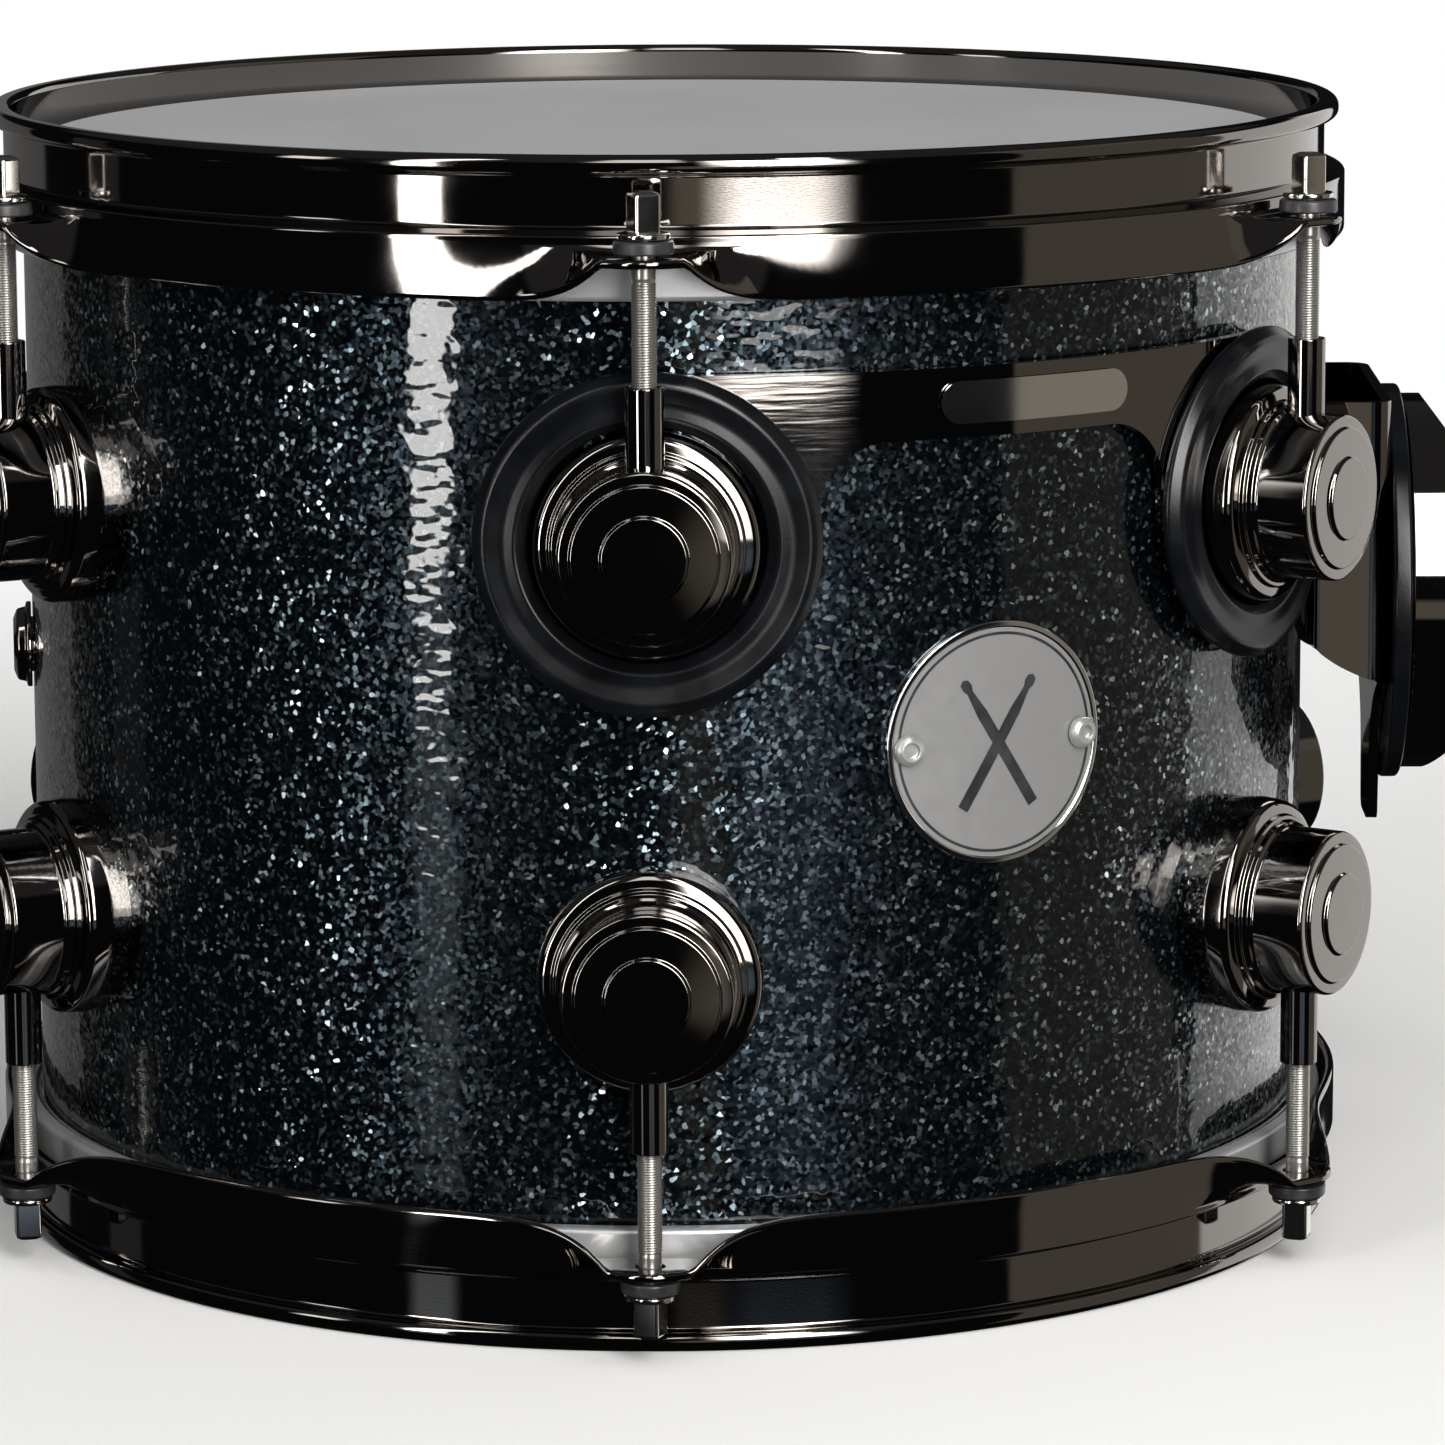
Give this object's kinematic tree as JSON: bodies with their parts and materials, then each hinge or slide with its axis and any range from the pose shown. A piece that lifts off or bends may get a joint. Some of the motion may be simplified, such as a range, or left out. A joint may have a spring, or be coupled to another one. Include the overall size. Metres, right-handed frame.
{
  "type": "tom tom drum",
  "caption": "Rack tom drum: wrapped round shell, two tensioned heads in flanged hoops, round lugs, and a suspension mount with an arm clamp.",
  "frame": {"origin": "centre of the resonant (lower) head's outer face, on the drum's axis", "axes": "+Z along the drum's axis towards the batter (played) head, +X out through the middle of the arm mount, +Y completes a right-handed frame; lug 1 of each head points along -Y"},
  "size_m": [0.3972, 0.3632, 0.2646],
  "materials": {
    "maple": "clear-sealed maple plies",
    "sparkle_wrap": "glossy near-black teal wrap full of pale blue glitter flakes",
    "coated_film": "sprayed matte coating on polyester film",
    "clear_film": "clear polyester film",
    "aluminium": "satin",
    "black_nickel": "polished black nickel plate",
    "bright_nickel": "bright nickel plate",
    "nylon": "black nylon, lightly worn",
    "grommet_rubber": "matte black rubber",
    "badge_metal": "satin silver with dark inlay",
    "label_metal": "satin, blank",
    "brass": "plain turned brass"
  },
  "bodies": {
    "drum": {"shell": "maple", "finish_wrap": "sparkle_wrap", "batter_head": "coated_film", "resonant_head": "clear_film", "batter_flesh_hoop": "aluminium", "resonant_flesh_hoop": "aluminium", "batter_hoop": "black_nickel", "resonant_hoop": "black_nickel", "batter_lug_1": "black_nickel", "batter_lug_2": "black_nickel", "batter_lug_3": "black_nickel", "batter_lug_4": "black_nickel", "batter_lug_5": "black_nickel", "batter_lug_6": "black_nickel", "resonant_lug_1": "black_nickel", "resonant_lug_2": "black_nickel", "resonant_lug_3": "black_nickel", "resonant_lug_4": "black_nickel", "resonant_lug_5": "black_nickel", "resonant_lug_6": "black_nickel", "batter_rod_washer_1": "nylon", "batter_rod_washer_2": "nylon", "batter_rod_washer_3": "nylon", "batter_rod_washer_4": "nylon", "batter_rod_washer_5": "nylon", "batter_rod_washer_6": "nylon", "resonant_rod_washer_1": "nylon", "resonant_rod_washer_2": "nylon", "resonant_rod_washer_3": "nylon", "resonant_rod_washer_4": "nylon", "resonant_rod_washer_5": "nylon", "resonant_rod_washer_6": "nylon", "suspension_plate": "black_nickel", "suspension_grommet_1": "grommet_rubber", "suspension_grommet_2": "grommet_rubber", "suspension_grommet_3": "grommet_rubber", "suspension_grommet_4": "grommet_rubber", "mount_gasket": "grommet_rubber", "mount_casting": "black_nickel", "jaw_hinge_pin": "bright_nickel", "badge": "badge_metal", "badge_screw_left": "bright_nickel", "badge_screw_right": "bright_nickel", "mount_label": "label_metal", "air_vent": "black_nickel", "air_vent_nut": "brass"},
    "batter_tension_rod_1": {"batter_tension_rod_1": "bright_nickel"},
    "batter_tension_rod_2": {"batter_tension_rod_2": "bright_nickel"},
    "batter_tension_rod_3": {"batter_tension_rod_3": "bright_nickel"},
    "batter_tension_rod_4": {"batter_tension_rod_4": "bright_nickel"},
    "batter_tension_rod_5": {"batter_tension_rod_5": "bright_nickel"},
    "batter_tension_rod_6": {"batter_tension_rod_6": "bright_nickel"},
    "resonant_tension_rod_1": {"resonant_tension_rod_1": "bright_nickel"},
    "resonant_tension_rod_2": {"resonant_tension_rod_2": "bright_nickel"},
    "resonant_tension_rod_3": {"resonant_tension_rod_3": "bright_nickel"},
    "resonant_tension_rod_4": {"resonant_tension_rod_4": "bright_nickel"},
    "resonant_tension_rod_5": {"resonant_tension_rod_5": "bright_nickel"},
    "resonant_tension_rod_6": {"resonant_tension_rod_6": "bright_nickel"},
    "clamp_jaw": {"clamp_jaw": "black_nickel"},
    "wing_screw": {"wing_screw": "black_nickel"}
  },
  "joints": [
    {"name": "batter_tension_rod_1_turn", "type": "hinge", "parent": "drum", "child": "batter_tension_rod_1", "pos_m": [0, -0.17, 0.24], "axis": [0, 0, 1], "continuous": true},
    {"name": "batter_tension_rod_2_turn", "type": "hinge", "parent": "drum", "child": "batter_tension_rod_2", "pos_m": [0.14722, -0.085, 0.24], "axis": [0, 0, 1], "continuous": true},
    {"name": "batter_tension_rod_3_turn", "type": "hinge", "parent": "drum", "child": "batter_tension_rod_3", "pos_m": [0.14722, 0.085, 0.24], "axis": [0, 0, 1], "continuous": true},
    {"name": "batter_tension_rod_4_turn", "type": "hinge", "parent": "drum", "child": "batter_tension_rod_4", "pos_m": [0, 0.17, 0.24], "axis": [0, 0, 1], "continuous": true},
    {"name": "batter_tension_rod_5_turn", "type": "hinge", "parent": "drum", "child": "batter_tension_rod_5", "pos_m": [-0.14722, 0.085, 0.24], "axis": [0, 0, 1], "continuous": true},
    {"name": "batter_tension_rod_6_turn", "type": "hinge", "parent": "drum", "child": "batter_tension_rod_6", "pos_m": [-0.14722, -0.085, 0.24], "axis": [0, 0, 1], "continuous": true},
    {"name": "resonant_tension_rod_1_turn", "type": "hinge", "parent": "drum", "child": "resonant_tension_rod_1", "pos_m": [0, -0.17, 0.008], "axis": [0, 0, -1], "continuous": true},
    {"name": "resonant_tension_rod_2_turn", "type": "hinge", "parent": "drum", "child": "resonant_tension_rod_2", "pos_m": [0.14722, -0.085, 0.008], "axis": [0, 0, -1], "continuous": true},
    {"name": "resonant_tension_rod_3_turn", "type": "hinge", "parent": "drum", "child": "resonant_tension_rod_3", "pos_m": [0.14722, 0.085, 0.008], "axis": [0, 0, -1], "continuous": true},
    {"name": "resonant_tension_rod_4_turn", "type": "hinge", "parent": "drum", "child": "resonant_tension_rod_4", "pos_m": [0, 0.17, 0.008], "axis": [0, 0, -1], "continuous": true},
    {"name": "resonant_tension_rod_5_turn", "type": "hinge", "parent": "drum", "child": "resonant_tension_rod_5", "pos_m": [-0.14722, 0.085, 0.008], "axis": [0, 0, -1], "continuous": true},
    {"name": "resonant_tension_rod_6_turn", "type": "hinge", "parent": "drum", "child": "resonant_tension_rod_6", "pos_m": [-0.14722, -0.085, 0.008], "axis": [0, 0, -1], "continuous": true},
    {"name": "clamp_jaw_swing", "type": "hinge", "parent": "drum", "child": "clamp_jaw", "pos_m": [0.2003, 0.0265, 0.139], "axis": [0, 0, 1], "range_deg": [0, 3.5]},
    {"name": "wing_screw_turn", "type": "hinge", "parent": "drum", "child": "wing_screw", "pos_m": [0.214, -0.015, 0.139], "axis": [1, 0, 0], "continuous": true}
  ]
}
